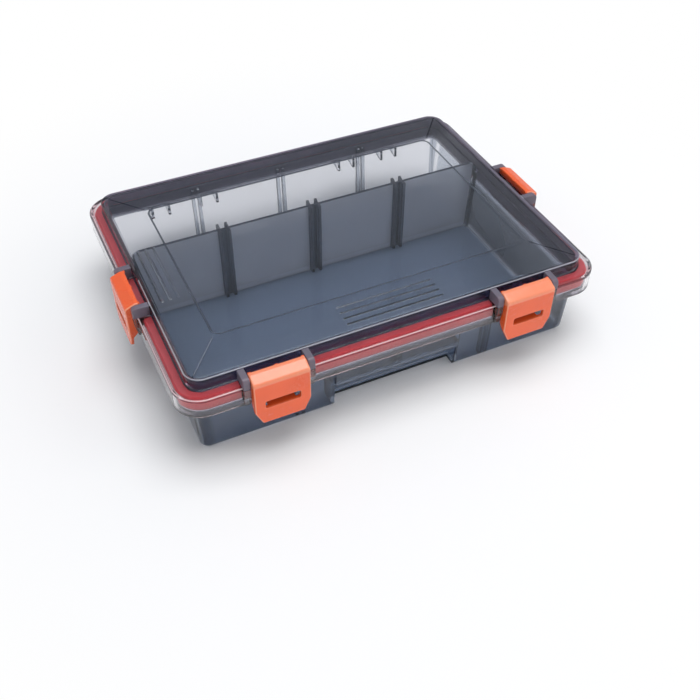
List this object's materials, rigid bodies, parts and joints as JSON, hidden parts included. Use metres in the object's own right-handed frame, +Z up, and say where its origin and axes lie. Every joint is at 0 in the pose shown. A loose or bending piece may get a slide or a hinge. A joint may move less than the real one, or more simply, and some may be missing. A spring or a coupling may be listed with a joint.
{
  "type": "fishing tackle box",
  "caption": "Flat waterproof tackle box: tray with partition, clear raised lid on back hinges, seal, and swing latches at the front and sides.",
  "frame": {"origin": "on the table, at the middle of the tray's underside", "axes": "+Z up, front and the two front latches towards -Y, hinges towards +Y, +X to the right along the longest side"},
  "size_m": [0.2814, 0.2187, 0.06],
  "materials": {
    "tray_smoke": "moulded translucent smoke-grey plastic",
    "partition_smoke": "moulded translucent smoke-grey plastic",
    "lid_clear": "clear smoke-blue plastic, glossy",
    "seal_red": "soft matt silicone rubber",
    "latch_orange": "satin moulded plastic",
    "pin_steel": "plain drawn wire"
  },
  "bodies": {
    "tray": {"tray": "tray_smoke", "seal": "seal_red", "partition": "partition_smoke", "hinge_pin_left": "pin_steel", "hinge_pin_right": "pin_steel"},
    "lid": {"lid": "lid_clear"},
    "latch_front_left": {"latch_front_left": "latch_orange"},
    "latch_front_right": {"latch_front_right": "latch_orange"},
    "latch_left": {"latch_left": "latch_orange"},
    "latch_right": {"latch_right": "latch_orange"}
  },
  "joints": [
    {"name": "lid_hinge", "type": "hinge", "parent": "tray", "child": "lid", "pos_m": [0, 0.1071, 0.0375], "axis": [-1, 0, 0], "range_deg": [0, 110]},
    {"name": "latch_front_left_hinge", "type": "hinge", "parent": "lid", "child": "latch_front_left", "pos_m": [-0.079, -0.102, 0.0564], "axis": [-1, 0, 0], "range_deg": [0, 120]},
    {"name": "latch_front_right_hinge", "type": "hinge", "parent": "lid", "child": "latch_front_right", "pos_m": [0.079, -0.102, 0.0564], "axis": [-1, 0, 0], "range_deg": [0, 120]},
    {"name": "latch_left_hinge", "type": "hinge", "parent": "lid", "child": "latch_left", "pos_m": [-0.1345, -0.004, 0.0564], "axis": [0, 1, 0], "range_deg": [0, 120]},
    {"name": "latch_right_hinge", "type": "hinge", "parent": "lid", "child": "latch_right", "pos_m": [0.1345, -0.004, 0.0564], "axis": [0, -1, 0], "range_deg": [0, 120]}
  ]
}
